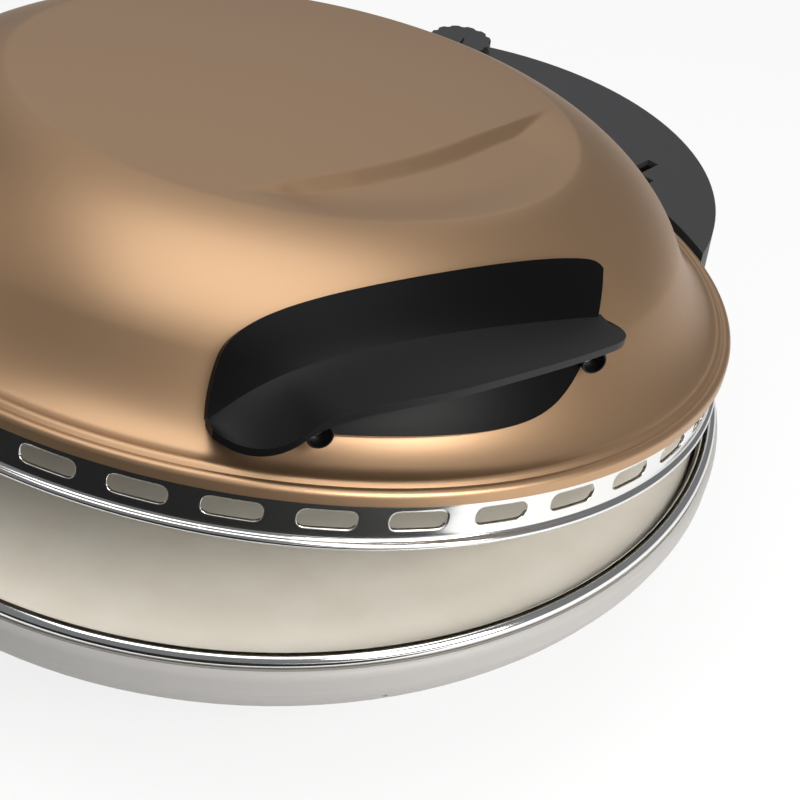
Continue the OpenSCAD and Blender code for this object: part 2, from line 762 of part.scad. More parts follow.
// Lid

// Looks outwards along the handle's middle: x runs sideways, y up, z out of the lid
module facing_handle() {
    rotate([0, 0, handle_az + 90]) rotate([90, 0, 0]) children();
}

module at_bosses() {
    for (p = bosses) facing_handle() translate(p) children();
}

module handle_screw_holes(r) {
    at_bosses() translate([0, 0, -45]) cylinder(h = 60, r = r);
}

// Radius of the dome's outer face at a height above its edge
dome_side = [for (p = backwards(dome_line())) if (p[0] > dome_top_r - 5) [-p[1], p[0]]];
function dome_r_at(z) = lookup(-z, dome_side);
// Distance from the lid's middle plane to the dome's inner face behind a boss
function nut_face(p, r) = sqrt(pow(dome_r_at(p[1] + r), 2) - pow(abs(p[0]) + r, 2)) - 2 * dome_wall;

module lid_dome() {
    placed() color([0.72, 0.56, 0.38]) in_lid() difference() {
        spun_sheet(dome_line(), dome_wall);
        handle_screw_holes(screw_r + 0.1);
    }
}

arm_az = 15;
module vent_slots() {
    flat = slot_len - slot_h;
    for (i = [0 : slot_count - 1]) {
        az = slot_start + 360 / slot_count * i;
        if (abs(((az + 360) % 360) - 90) > arm_az) at_az(az, ring_r - 8, -slot_drop) rotate([90, 0, 90])
            linear_extrude(height = 16) union() {
                square([flat, slot_h], center = true);
                for (s = [-1, 1]) translate([s * flat / 2, 0]) circle(r = slot_h / 2, $fn = 32);
            }
    }
}

module vent_ring() {
    z = ring_flange_z;
    placed() color([0.82, 0.82, 0.82]) in_lid() difference() {
        ring_of([[ring_r - 9, z], [ring_r, z], [ring_r, 3 - ring_h], [ring_r + 1.7, 1.8 - ring_h],
            [ring_r + 1.7, 0.8 - ring_h], [ring_r + 0.8, -ring_h], [ring_r - 0.2, -ring_h],
            [ring_r + 0.6, 1.2 - ring_h], [ring_r - ring_t, 3 - ring_h], [ring_r - ring_t, z - ring_t],
            [ring_r - 9, z - ring_t]]);
        vent_slots();
        rivet_holes(1.6);
        lid_screw_holes(screw_r + 0.1);
        lead_hole(3.2);
    }
}

lid_screw_az = [-150, -90, -30, 30, 150];
module lid_screw_holes(r) {
    for (az = lid_screw_az) at_az(az, ring_r - 5.5, -3) cylinder(h = 8, r = r);
}

module lid_reflector() {
    top_t = 1;
    flange_z = ring_flange_z - ring_t;
    placed() color([0.78, 0.78, 0.77]) in_lid() difference() {
        ring_of([[ring_r - ring_t - 0.4, flange_z], [ring_r - 16, flange_z], [turn_out_r + 10, reflector_z],
            [0, reflector_z], [0, reflector_z - top_t], [turn_out_r + 9, reflector_z - top_t],
            [ring_r - 17, flange_z - top_t], [ring_r - ring_t - 0.4, flange_z - top_t]]);
        insulator_holes(reflector_z);
        lid_screw_holes(screw_r + 0.1);
        translate([0, ring_r - lead_in, 0]) cylinder(h = reflector_z, r = 3.2);
    }
}

// Screws that draw the ring and the reflector up to the dome's tabs
module lid_screws() {
    placed() color([0.7, 0.7, 0.7]) in_lid() for (az = lid_screw_az)
        at_az(az, ring_r - 5.5, ring_flange_z - ring_t - 1) mirror([0, 0, 1]) {
            cylinder(h = 1.6, r = 2.8);
            translate([0, 0, -2.6]) cylinder(h = 3, r = screw_r);
        }
}

module upper_heater() {
    placed() color([0.35, 0.33, 0.32]) in_lid() heater(upper_tube_z, reflector_z + 8 - upper_tube_z);
}

module upper_clips() {
    placed() color([0.7, 0.7, 0.7]) in_lid() heater_clips(upper_tube_z, reflector_z - 1 - upper_tube_z);
}

module upper_insulators() {
    placed() color([0.93, 0.92, 0.88]) in_lid() insulators(reflector_z, 1);
}

lead_in = 18;
module lead_hole(r) {
    at_az(90, ring_r - 10, -hinge_drop) rotate([0, 90, 0]) cylinder(h = 20, r = r);
}

// Leads from the hollow hinge pin, through the ring and the reflector, to the heater's ends
module lid_wiring() {
    start = 90 + turn_gap / 2;
    tip_z = reflector_z + 8 + near;
    ends = [turn_out_r, turn_in_r];
    turn_y = ring_r - lead_in;
    placed() color([0.85, 0.82, 0.75]) in_lid() for (i = [0, 1]) {
        off = wire_off * (2 * i - 1);
        end = [ends[i] * cos(start), ends[i] * sin(start), 0];
        bent_rod([[-arm_x - arm_t / 2 + 0.5, hinge_y, -hinge_drop + off],
            [-10, hinge_y, -hinge_drop + off], [off, hinge_y - 8, -hinge_drop],
            [off, turn_y, -hinge_drop], [off, turn_y, reflector_z - 13],
            [3 * off, turn_y - 19, reflector_z + 3.5], end + [0, 0, tip_z + 3], end + [0, 0, tip_z]], wire_r);
    }
}

rivet_az = [90 - 8.5, 90 - 4, 90 + 4, 90 + 8.5];
module rivet_holes(r) {
    for (az = rivet_az) at_az(az, ring_r - 6, -hinge_drop) rotate([0, 90, 0])
        cylinder(h = 12, r = r);
}

module lid_hinge_arms() {
    eye_r = pin_r + 3.5;
    strap_t = 2.4;
    strap = [[ring_r, -11], [ring_r + strap_t, -11], [ring_r + strap_t, -0.6], [ring_r, -0.6]];
    arm = concat(arc(hinge_y, -hinge_drop, eye_r, -115, 125, 16), [[ring_r - 4, -0.8], [ring_r - 4, -10.6]]);
    placed() color([0.62, 0.62, 0.63]) in_lid() difference() {
        union() {
            rotate([0, 0, 90 - strap_half_az]) rotate_extrude(angle = 2 * strap_half_az) polygon(strap);
            difference() {
                union() {
                    yz_plate(arm_x, arm_t, arm);
                    yz_plate(-arm_x - arm_t, arm_t, arm);
                }
                translate([0, 0, -40]) cylinder(h = 80, r = ring_r);
            }
        }
        translate([-60, hinge_y, -hinge_drop]) rotate([0, 90, 0]) cylinder(h = 120, r = pin_r + pin_gap);
        rivet_holes(1.6);
        lead_hole(3.2);
    }
}

module arm_rivets() {
    placed() color([0.75, 0.75, 0.75]) in_lid() for (az = rivet_az)
        at_az(az, ring_r, -hinge_drop) rotate([0, 90, 0]) {
            translate([0, 0, -ring_t - 1.1]) cylinder(h = 1, r = 2.6);
            translate([0, 0, -ring_t - 1.1]) cylinder(h = ring_t + 4.2, r = 1.55);
            translate([0, 0, 2.4]) cylinder(h = 1, r = 2.6);
        }
}

// Handle

head_sink = 7;
boss_head_r = boss_r - 0.8;

module handle_outline() {
    polygon(concat(
        [[-58.5, 15]],
        bezier([-58.5, 15], [-57, 34], [-54, 36], [-42, 39], 6),
        bezier([-42, 39], [-20, 47], [20, 53], [63, 47], 8),
        arc(63.5, 44, 3, 80, -20, 3),
        [[60, 36]],
        bezier([60, 36], [52, 26], [48, 15], [30, 15], 6)));
}

module handle() {
    gap_line = shifted(dome_line(), -plate_gap);
    out_line = shifted(dome_line(), -plate_gap - plate_t);
    wave = concat([[-62, 10]], bezier([-62, 10], [-45, 32], [5, 45], [66, 36], 14));
    placed() color([0.08, 0.08, 0.085]) in_lid() difference() {
        union() {
            intersection() {
                ring_of([for (p = concat(gap_line, backwards(out_line))) [max(p[0], 0), p[1]]]);
                facing_handle() translate([0, 0, 80]) linear_extrude(height = 90) handle_outline();
            }
            handle_shelf(wave);
            at_bosses() translate([0, 0, -16]) cylinder(h = 16, r = boss_r);
            at_bosses() translate([-1.5, 0, -14]) cube([3, boss_r + 4, 12]);
        }
        spun_solid(gap_line);
        handle_screw_holes(screw_r + 0.1);
        at_bosses() translate([0, 0, -head_sink]) cylinder(h = head_sink + 1, r = boss_head_r + 0.1);
    }
}

module spun_solid(line) {
    ring_of(concat([for (p = line) [max(p[0], 0), p[1]]], [[0, 0]]));
}

module handle_shelf(wave) {
    intersection() {
        rotate([0, 0, handle_az - 90]) mirror([1, 0, 0]) linear_extrude(height = dome_h)
            mirror([1, 0, 0]) polygon(shelf_plan());
        facing_handle() translate([0, 0, 130]) rotate([shelf_pitch, 0, 0]) translate([0, 0, -30])
            linear_extrude(height = 80) polygon(concat(wave, backwards([for (p = wave) p - [0, shelf_t]])));
    }
}

function shelf_plan() = concat([[-60, 128], [-60, 140]],
    bezier([-60, 140], [-46, 156], [-40, 155], [-26, 156], 5),
    bezier([-26, 156], [0, 160], [20, 148], [58, 133], 6),
    [[64, 128], [64, 121], [60, 112], [0, 112]]);

// The screws' heads lie sunk in the hollow bosses
module handle_screws() {
    placed() color([0.7, 0.7, 0.7]) in_lid() for (p = bosses) facing_handle()
        translate([p[0], p[1], p[2] - head_sink])
            screw(p[2] - head_sink - nut_face(p, 3.6) + 4, boss_head_r, 1.6);
}

module handle_nuts() {
    placed() color([0.7, 0.7, 0.7]) in_lid() for (p = bosses) facing_handle()
        translate([p[0], p[1], nut_face(p, 3.6) - 3]) difference() {
            cylinder(h = 3, r = 3.6, $fn = 6);
            translate([0, 0, -1]) cylinder(h = 5, r = screw_r + 0.02);
        }
}

base_bowl();
base_rim();
rim_screws();
baking_stone();
heat_tray();
lower_heater();
lower_clips();
lower_insulators();
thermal_fuse();
wire_grommet();
base_wiring();
hinge_wiring();
front_feet();
rear_feet();
foot_screws();
hinge_bracket();
hinge_pins();
hinge_screws();
friction_washers();
rear_housing();
housing_base();
housing_screws();
terminal_block();
cord_gland();
thermostat();
thermostat_shaft();
thermostat_knob();
timer();
timer_bell();
timer_shaft();
timer_knob();
control_nuts();
pilot_lens();
pilot_lamp_holder();
lid_dome();
vent_ring();
lid_reflector();
lid_screws();
upper_heater();
upper_clips();
upper_insulators();
lid_wiring();
lid_hinge_arms();
arm_rivets();
handle();
handle_screws();
handle_nuts();
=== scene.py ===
import json
import math

import bpy
import numpy as np
from mathutils import Matrix, Vector


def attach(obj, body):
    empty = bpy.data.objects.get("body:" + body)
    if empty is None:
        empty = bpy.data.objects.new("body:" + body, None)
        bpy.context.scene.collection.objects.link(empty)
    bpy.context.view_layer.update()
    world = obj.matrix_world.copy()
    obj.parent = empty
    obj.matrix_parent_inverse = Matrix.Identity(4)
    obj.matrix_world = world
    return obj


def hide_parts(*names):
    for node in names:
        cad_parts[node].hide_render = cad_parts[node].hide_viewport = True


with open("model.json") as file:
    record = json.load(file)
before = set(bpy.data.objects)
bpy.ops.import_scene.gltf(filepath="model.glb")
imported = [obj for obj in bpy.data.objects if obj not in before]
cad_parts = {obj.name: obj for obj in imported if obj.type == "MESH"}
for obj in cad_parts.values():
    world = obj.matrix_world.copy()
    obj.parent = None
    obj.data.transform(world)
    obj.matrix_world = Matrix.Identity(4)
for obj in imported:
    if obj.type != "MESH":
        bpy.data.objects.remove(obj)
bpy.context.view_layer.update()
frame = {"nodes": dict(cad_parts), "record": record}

# Sizes of the CAD part, in millimetres
EDGE_R = 158.9          # lid's edge
EDGE_Z = 92.0           # closed lid's edge above the table
AXIS_R = 0.01           # turned outlines stop this short of their axis
DOME_H = 56.0
DOME_TOP_R = 94.0
DOME_WALL = 1.2
RING_R = 157.0
RING_T = 1.0
RING_H = 15.4
RIM_Z = 73.3
BEAD_R = 2.3
BEAD_C = 159.3
STONE_R = 155.0
STONE_TOP = 71.5
STONE_LOW = 59.5
HINGE = (0.0, 176.0, 86.4)
STONE_PLACE = np.array([0.0, -33.1, 0.0])   # stone's middle from the row frame's origin
REST = math.radians(7.62)
HANDLE_AZ = math.radians(-28)
SLOTS = 38
SLOT_START = -28.8
SLOT_LEN = 17.0
SLOT_H = 6.0
SLOT_DROP = 6.1         # from the lid's edge down to a slot's middle
BARE_HALF = 15          # degrees to each side of the hinge without slots
HINGE_AZ = 90


def unit(v):
    v = np.asarray(v, float)
    return v / np.linalg.norm(v, axis=-1, keepdims=True)


def from_lid(p):
    """Points of the closed lid, heights from its edge, to the row frame at rest, in metres."""
    p = np.asarray(p, float) + np.array([0, 0, EDGE_Z])
    d = p - np.array(HINGE)
    c, s = math.cos(REST), math.sin(REST)
    y = d[..., 1] * c + d[..., 2] * s
    z = -d[..., 1] * s + d[..., 2] * c
    return (np.stack([d[..., 0], y, z], -1) + np.array(HINGE) + STONE_PLACE) / 1000


def in_row(p):
    """Points measured from under the stone's middle to the row frame, in metres."""
    return (np.asarray(p, float) + STONE_PLACE) / 1000


def handle_point(side, z, u):
    """A point of the lid from its sideways place, height and distance out along the handle's middle."""
    c, s = math.cos(HANDLE_AZ), math.sin(HANDLE_AZ)
    side, z, u = (np.asarray(a, float) for a in (side, z, u))
    return np.stack([u * c - side * s, u * s + side * c, z], -1)


def bezier(a, b, c, d, n, skip=True):
    t = np.linspace(0, 1, n + 1)[1 if skip else 0:, None]
    a, b, c, d = (np.asarray(p, float) for p in (a, b, c, d))
    return (1 - t) ** 3 * a + 3 * (1 - t) ** 2 * t * b + 3 * (1 - t) * t * t * c + t ** 3 * d


def arc(cx, cy, r, a0, a1, n):
    a = np.radians(np.linspace(a0, a1, n + 1))
    return np.stack([cx + r * np.cos(a), cy + r * np.sin(a)], -1)


def shifted(p, d):
    """Moves an open outline sideways by d, to the left of its running direction."""
    t = np.gradient(p, axis=0)
    t = unit(t)
    return p + d * np.stack([-t[:, 1], t[:, 0]], -1)


def run_length(line):
    """How far along the line each of its points lies."""
    return np.concatenate([[0], np.cumsum(np.linalg.norm(np.diff(line, axis=0), axis=1))])


def even_line(parts, n):
    """Joins stretches of points and returns n places at even steps along them."""
    line = np.vstack(parts)
    s = run_length(line)
    at = np.linspace(0, s[-1], n)
    return np.stack([np.interp(at, s, line[:, k]) for k in range(line.shape[1])], -1)


def new_mesh(name, verts, faces, uvs=None, sharp=40, body="base"):
    me = bpy.data.meshes.new(name)
    me.from_pydata([tuple(v) for v in verts], [], [tuple(f) for f in faces])
    me.validate()
    if uvs is not None:
        layer = me.uv_layers.new(name="UVMap")
        index = np.zeros(len(me.loops), int)
        me.loops.foreach_get("vertex_index", index)
        layer.data.foreach_set("uv", np.asarray(uvs, float)[index].astype(np.float32).ravel())
    me.polygons.foreach_set("use_smooth", [True] * len(me.polygons))
    me.set_sharp_from_angle(angle=math.radians(sharp))
    ob = bpy.data.objects.new(name, me)
    bpy.context.scene.collection.objects.link(ob)
    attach(ob, body)
    return ob


def grid_faces(rows, cols, close_rows=False, close_cols=False, flip=False):
    faces = []
    for i in range(rows if close_rows else rows - 1):
        for j in range(cols if close_cols else cols - 1):
            a, b = i * cols + j, i * cols + (j + 1) % cols
            c, d = ((i + 1) % rows) * cols + (j + 1) % cols, ((i + 1) % rows) * cols + j
            faces.append((a, d, c, b) if flip else (a, b, c, d))
    return faces


def lathe(name, line, place, turns=360, body="base", sharp=40, shape=None):
    """Turns a closed outline of (r, z) round the Z axis. Points are given anticlockwise in r, z."""
    line = np.asarray(line, float)
    az = np.radians(np.arange(turns) * 360 / turns)
    r = line[:, 0][:, None]
    p = np.stack([r * np.cos(az), r * np.sin(az), np.repeat(line[:, 1][:, None], turns, 1)], -1)
    if shape:
        p = shape(p)
    s = run_length(line)
    uv = np.stack([np.broadcast_to(az * RING_R / 1000, p.shape[:2]),
                   np.broadcast_to(s[:, None] / 1000, p.shape[:2])], -1)
    faces = grid_faces(len(line), turns, close_rows=True, close_cols=True)
    return new_mesh(name, place(p.reshape(-1, 3)), faces, uv.reshape(-1, 2), sharp, body)


# Materials

def material(name, color, rough=0.5, metal=0.0, spec=0.5, coat=0.0, coat_rough=0.1):
    m = bpy.data.materials.new(name)
    m.use_nodes = True
    b = m.node_tree.nodes["Principled BSDF"]
    b.inputs["Base Color"].default_value = (*color, 1)
    b.inputs["Roughness"].default_value = rough
    b.inputs["Metallic"].default_value = metal
    b.inputs["Specular IOR Level"].default_value = spec
    b.inputs["Coat Weight"].default_value = coat
    b.inputs["Coat Roughness"].default_value = coat_rough
    return m


def add(m, kind, **values):
    n = m.node_tree.nodes.new(kind)
    for k, v in values.items():
        if k in n.inputs:
            n.inputs[k].default_value = v
        else:
            setattr(n, k, v)
    return n


def shader(m):
    return m.node_tree.nodes["Principled BSDF"]


def wire(m, out, inp):
    m.node_tree.links.new(out, inp)


def noise(m, scale, detail, stretch, uv):
    """A noise texture over a piece; stretch pulls it long in one direction."""
    out = add(m, "ShaderNodeTexCoord").outputs["UV" if uv else "Object"]
    if stretch:
        mapping = add(m, "ShaderNodeMapping")
        mapping.inputs["Scale"].default_value = stretch
        wire(m, out, mapping.inputs["Vector"])
        out = mapping.outputs["Vector"]
    texture = add(m, "ShaderNodeTexNoise", Scale=scale, Detail=detail)
    wire(m, out, texture.inputs["Vector"])
    return texture.outputs["Fac"]


def grain(m, scale, strength, distance=0.0002, detail=3.0, stretch=None, uv=False):
    """Fine bumps over a material."""
    bump = add(m, "ShaderNodeBump", Strength=strength, Distance=distance)
    wire(m, noise(m, scale, detail, stretch, uv), bump.inputs["Height"])
    wire(m, bump.outputs["Normal"], shader(m).inputs["Normal"])


def mottled(m, a, b, scale, detail=4.0, low=0.35, high=0.65):
    """Mixes two colours by soft noise."""
    ramp = add(m, "ShaderNodeValToRGB")
    for stop, place, color in zip(ramp.color_ramp.elements, (low, high), (a, b)):
        stop.position = place
        stop.color = (*color, 1)
    wire(m, noise(m, scale, detail, None, False), ramp.inputs["Fac"])
    wire(m, ramp.outputs["Color"], shader(m).inputs["Base Color"])


copper = material("lid_copper_paint", (0.45, 0.285, 0.165), 0.4, 0.88, 0.5)
grain(copper, 2600, 0.05, 0.00005, 2)
STEEL_COLOR = (0.82, 0.82, 0.81)
STEEL_ROUGH = 0.14
INSIDE_ROUGH = 0.5
steel = material("ring_polished_steel", STEEL_COLOR, STEEL_ROUGH, 1.0)
grain(steel, 700, 0.07, 0.00005, 3, stretch=(6.0, 0.05, 1.0), uv=True)


def painted_inside_shade(m, color):
    """Gives the faces that look towards the ring's middle a dark olive colour, painted shade for the
    shadowed inside of the lid.

    inputs 6 and 7 of the mix node are its two colours, output 2 their blend.
    """
    co = add(m, "ShaderNodeTexCoord")
    out = add(m, "ShaderNodeVectorMath", operation="SUBTRACT")
    out.inputs[1].default_value = tuple(STONE_PLACE / 1000)
    flat = add(m, "ShaderNodeVectorMath", operation="MULTIPLY")
    flat.inputs[1].default_value = (1, 1, 0)
    dot = add(m, "ShaderNodeVectorMath", operation="DOT_PRODUCT")
    inward_shade_mask = add(m, "ShaderNodeMath", operation="LESS_THAN")
    inward_shade_mask.inputs[1].default_value = -0.06
    mix = add(m, "ShaderNodeMix", data_type="RGBA")
    mix.inputs[6].default_value = (*STEEL_COLOR, 1)
    mix.inputs[7].default_value = (*color, 1)
    rough = add(m, "ShaderNodeMapRange")
    rough.inputs["To Min"].default_value = STEEL_ROUGH
    rough.inputs["To Max"].default_value = INSIDE_ROUGH
    wire(m, co.outputs["Object"], out.inputs[0])
    wire(m, out.outputs[0], flat.inputs[0])
    wire(m, flat.outputs[0], dot.inputs[0])
    wire(m, co.outputs["Normal"], dot.inputs[1])
    wire(m, dot.outputs["Value"], inward_shade_mask.inputs[0])
    wire(m, inward_shade_mask.outputs[0], mix.inputs[0])
    wire(m, inward_shade_mask.outputs[0], rough.inputs["Value"])
    wire(m, mix.outputs[2], shader(m).inputs["Base Color"])
    wire(m, rough.outputs["Result"], shader(m).inputs["Roughness"])


# the dark olive on the ring's inner faces is painted shade, standing in for the shadowed inside of the lid
painted_inside_shade(steel, (0.13, 0.12, 0.08))
chrome = material("rim_bright", (0.86, 0.86, 0.85), 0.1, 1.0)
bowl_paint = material("bowl_light_grey", (0.36, 0.35, 0.34), 0.45, 0.0, 0.4)
grain(bowl_paint, 2400, 0.05, 0.00005, 2)
stone_mat = material("stone_cordierite", (0.86, 0.80, 0.69), 0.75)
mottled(stone_mat, (0.85, 0.79, 0.68), (0.89, 0.84, 0.735), 60)
grain(stone_mat, 1500, 0.12, 0.0002, 5)
handle_mat = material("handle_black", (0.004, 0.004, 0.0045), 0.4, 0.0, 0.24)
grain(handle_mat, 2800, 0.2, 0.0001, 2)
# The plate is the shelf's black plastic made darker and less glossy: painted shade on the side that faces
# the lid, with handle_mat as the lit copy.
plate_shaded_mat = material("handle_plate_painted_shade", (0.0018, 0.0018, 0.002), 0.38, 0.0, 0.1)
grain(plate_shaded_mat, 2800, 0.08, 0.0001, 2)
housing_mat = material("housing_dark_grey", (0.03, 0.03, 0.032), 0.5, 0.0, 0.4)
grain(housing_mat, 2600, 0.12, 0.0001, 2)
knob_mat = material("knob_black", (0.012, 0.012, 0.013), 0.38)
grain(knob_mat, 2600, 0.1, 0.0001, 2)
# The sheet's dark olive colour is painted shade for the dim inside of the oven; the blotchy unevenness of
# the mottle is random tone of the sheet.
sheet_mat = material("aluminised_sheet", (0.62, 0.60, 0.55), 0.42, 0.9)
mottled(sheet_mat, (0.22, 0.20, 0.145), (0.27, 0.25, 0.19), 45)
heater_mat = material("heater_sheath", (0.06, 0.055, 0.05), 0.5, 0.6)
mottled(heater_mat, (0.045, 0.04, 0.036), (0.09, 0.08, 0.07), 90)
clip_mat = material("clip_steel", (0.55, 0.55, 0.55), 0.35, 1.0)
grain(clip_mat, 1200, 0.1)
ceramic_mat = material("ceramic_white", (0.86, 0.84, 0.79), 0.6)
grain(ceramic_mat, 1500, 0.06)
rubber_mat = material("rubber_black", (0.018, 0.018, 0.018), 0.7)
grain(rubber_mat, 1800, 0.15)
sleeve_mat = material("glass_sleeve", (0.62, 0.57, 0.47), 0.8)
grain(sleeve_mat, 3000, 0.3)
screw_mat = material("zinc_screw", (0.66, 0.66, 0.66), 0.3, 1.0)
grain(screw_mat, 1500, 0.06)
hinge_mat = material("hinge_steel", (0.56, 0.56, 0.57), 0.34, 1.0)
grain(hinge_mat, 900, 0.1, stretch=(1.0, 1.0, 8.0))
bronze_mat = material("washer_bronze", (0.45, 0.31, 0.14), 0.42, 1.0)
grain(bronze_mat, 1500, 0.1)
block_mat = material("block_ivory", (0.74, 0.69, 0.58), 0.5)
grain(block_mat, 1500, 0.05)
lens_mat = material("lens_red", (0.62, 0.05, 0.015), 0.15, 0.0, 0.5, 0.4)
shader(lens_mat).inputs["Transmission Weight"].default_value = 0.35
grain(lens_mat, 400, 0.02)
bell_mat = material("bell_brass", (0.62, 0.45, 0.16), 0.28, 1.0)
grain(bell_mat, 1200, 0.05)

by_slot = {
    "lid_paint": copper, "bowl_paint": bowl_paint, "ring_steel": steel, "rim_steel": chrome,
    "stone": stone_mat, "tray_sheet": sheet_mat, "heater_steel": heater_mat, "clip_steel": clip_mat,
    "ceramic": ceramic_mat, "rubber": rubber_mat, "sleeve": sleeve_mat, "screw_steel": screw_mat,
    "hinge_steel": hinge_mat, "washer_metal": bronze_mat, "handle_plastic": handle_mat,
    "housing_plastic": housing_mat, "knob_plastic": knob_mat, "block_plastic": block_mat,
    "lens_plastic": lens_mat, "bell_metal": bell_mat,
}
for part in frame["record"]["subparts"]:
    node = frame["nodes"][part["node"]]
    node.data.materials.clear()
    node.data.materials.append(by_slot[part["material_slot"]])
    node.data.polygons.foreach_set("use_smooth", [True] * len(node.data.polygons))
    node.data.set_sharp_from_angle(angle=math.radians(28))


def finish_piece(ob, mat, slot, *nodes):
    ob.data.materials.append(mat)
    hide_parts(*nodes)
    return ob


# Lid dome

def dome_line(n=1):
    side_low = np.array([EDGE_R - 24.9, 0.491 * DOME_H])
    return np.vstack([
        [[EDGE_R, 0]],
        arc(EDGE_R - 1.9, 2.6, 1.9, 0, 120, 12 * n),
        arc(EDGE_R - 5.1, 3.5, 2.1, 45, 110, 8 * n),
        bezier([EDGE_R - 7.1, 5.8], [EDGE_R - 14.9, 10], [EDGE_R - 19.9, 19.5], side_low, 24 * n),
        bezier(side_low, side_low + [-8, 11.5], [DOME_TOP_R + 17, DOME_H - 6.5],
               [DOME_TOP_R, DOME_H - 2], 36 * n),
        bezier([DOME_TOP_R, DOME_H - 2], [DOME_TOP_R - 30, DOME_H - 0.6], [30, DOME_H],
               [AXIS_R, DOME_H], 110 * n)])


def smooth01(t):
    t = np.clip(t, 0, 1)
    return t * t * (3 - 2 * t)


CREASE_DEEP = 2.8
CREASE_LOW = [(48, -73), (55, -60), (58, -49), (61, -33), (62, -18), (62.4, -3), (61.5, 11),
              (59.4, 24), (56.8, 38), (55.3, 49), (52, 62), (47, 76)]
CREASE_HIGH = [(47.8, -73), (51, -52), (53.4, -29), (54.6, -10), (54.4, 3), (53.4, 16), (52, 27),
               (51, 38), (49.8, 50), (48, 62), (46.5, 76)]


def top_shape(p):
    """Sinks the lid's top beyond the curved crease, as in the photo."""
    low, high = np.array(CREASE_LOW), np.array(CREASE_HIGH)
    x, y, z = p[..., 0], p[..., 1], p[..., 2]
    r = np.hypot(x, y)
    xl = np.interp(y, low[:, 1], low[:, 0])
    xh = np.interp(y, high[:, 1], high[:, 0])
    t = smooth01((x - xh) / np.maximum(xl - xh, 0.5))
    ends = smooth01((y + 78) / 26) * smooth01((84 - y) / 40)
    reach = smooth01((100 - r) / 28)
    out = np.where(x > xh, t, 0) * ends * reach
    return np.stack([x, y, z - CREASE_DEEP * out], -1)


LID_TURNS = 720
outer = dome_line()
inner = shifted(outer, DOME_WALL)
inner[:, 0] = np.maximum(inner[:, 0], AXIS_R)
lid_shell = lathe("lid_shell", np.vstack([outer, inner[::-1]]), from_lid, LID_TURNS, "lid", 50, top_shape)
finish_piece(lid_shell, copper, "lid_paint", "lid_dome")

# Vent ring with its slots

CELL = 2 * math.pi / SLOTS
ACROSS = 16             # steps along a slot and up it
UPRIGHT = 8
WALL_HIGH = -1.9        # heights of the slotted wall, from the lid's edge
WALL_LOW = -10.6
# Slot's edge from its inner side out: how far it has grown, how deep it lies in the wall
SLOT_LIP = [(0, RING_T), (0, 0.22), (0.06, 0.06), (0.2, 0), (0.8, 0)]


def cell_border():
    """Points round one cell of the wall, as (share of its angle, height), from its lower left."""
    b = [(j / ACROSS, WALL_LOW) for j in range(ACROSS)]
    b += [(1, WALL_LOW + (WALL_HIGH - WALL_LOW) * i / UPRIGHT) for i in range(UPRIGHT)]
    b += [(1 - j / ACROSS, WALL_HIGH) for j in range(ACROSS)]
    b += [(0, WALL_HIGH - (WALL_HIGH - WALL_LOW) * i / UPRIGHT) for i in range(UPRIGHT)]
    return np.array(b)


def slot_outline(grow=0.0, corner=2.5):
    """The same number of points round a slot, sizes in mm, starting at its lower left corner's middle."""
    hx, hz, c = SLOT_LEN / 2 + grow, SLOT_H / 2 + grow, corner + grow

    def corner_pts(cx, cz, a0):
        return arc(cx, cz, c, a0, a0 + 90, 8)

    ll = corner_pts(-hx + c, -hz + c, 180)
    lr = corner_pts(hx - c, -hz + c, 270)
    ur = corner_pts(hx - c, hz - c, 0)
    ul = corner_pts(-hx + c, hz - c, 90)
    parts = []
    for a, b, n in ((ll, lr, ACROSS), (lr, ur, UPRIGHT), (ur, ul, ACROSS), (ul, ll, UPRIGHT)):
        line = np.vstack([a[4:], b[:5]])
        s = run_length(line)
        at = np.linspace(0, s[-1], n + 1)[:-1]
        parts.append(np.stack([np.interp(at, s, line[:, 0]), np.interp(at, s, line[:, 1])], -1))
    return np.vstack(parts)


